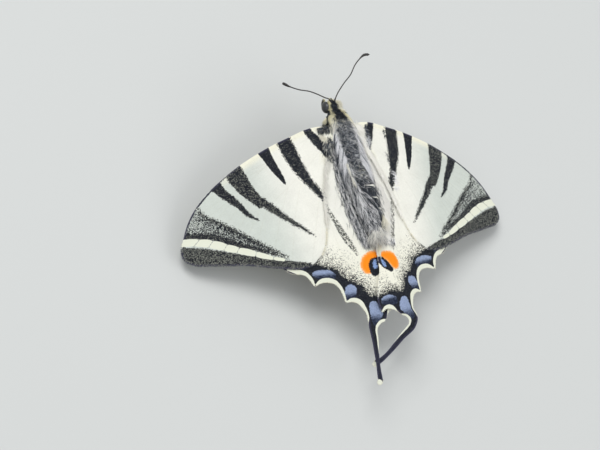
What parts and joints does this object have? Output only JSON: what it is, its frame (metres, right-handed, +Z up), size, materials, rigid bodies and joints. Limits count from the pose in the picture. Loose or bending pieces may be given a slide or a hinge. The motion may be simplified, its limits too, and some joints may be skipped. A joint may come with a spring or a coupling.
{
  "type": "scarce swallowtail butterfly",
  "caption": "Life-size swallowtail butterfly standing with its wings open: cream wings barred in black, scalloped and tailed hindwings, hairy body, clubbed antennae and bent legs.",
  "frame": {"origin": "on the floor under the middle of the outline, at the height of the feet", "axes": "+Z up, head towards -Y, tails towards +Y, the butterfly's own left wing towards +X"},
  "size_m": [0.0726, 0.0676, 0.0177],
  "materials": {
    "wing": "matt scaled wing membrane, cream with black bars",
    "body_hair": "dark body under long grey-white hair",
    "eye": "glossy dark faceted eye",
    "horn": "black horny shell of antennae and tongue",
    "leg": "slender horny leg with fine pale scales"
  },
  "bodies": {
    "root": {"abdomen": "body_hair", "antenna_left": "horn", "antenna_right": "horn", "eye_left": "eye", "eye_right": "eye", "fore_leg_left": "leg", "fore_leg_right": "leg", "forewing_left": "wing", "forewing_right": "wing", "head": "body_hair", "hind_leg_left": "leg", "hind_leg_right": "leg", "hindwing_left": "wing", "hindwing_right": "wing", "mid_leg_left": "leg", "mid_leg_right": "leg", "palp_left": "body_hair", "palp_right": "body_hair", "proboscis": "horn", "thorax": "body_hair"}
  },
  "joints": []
}
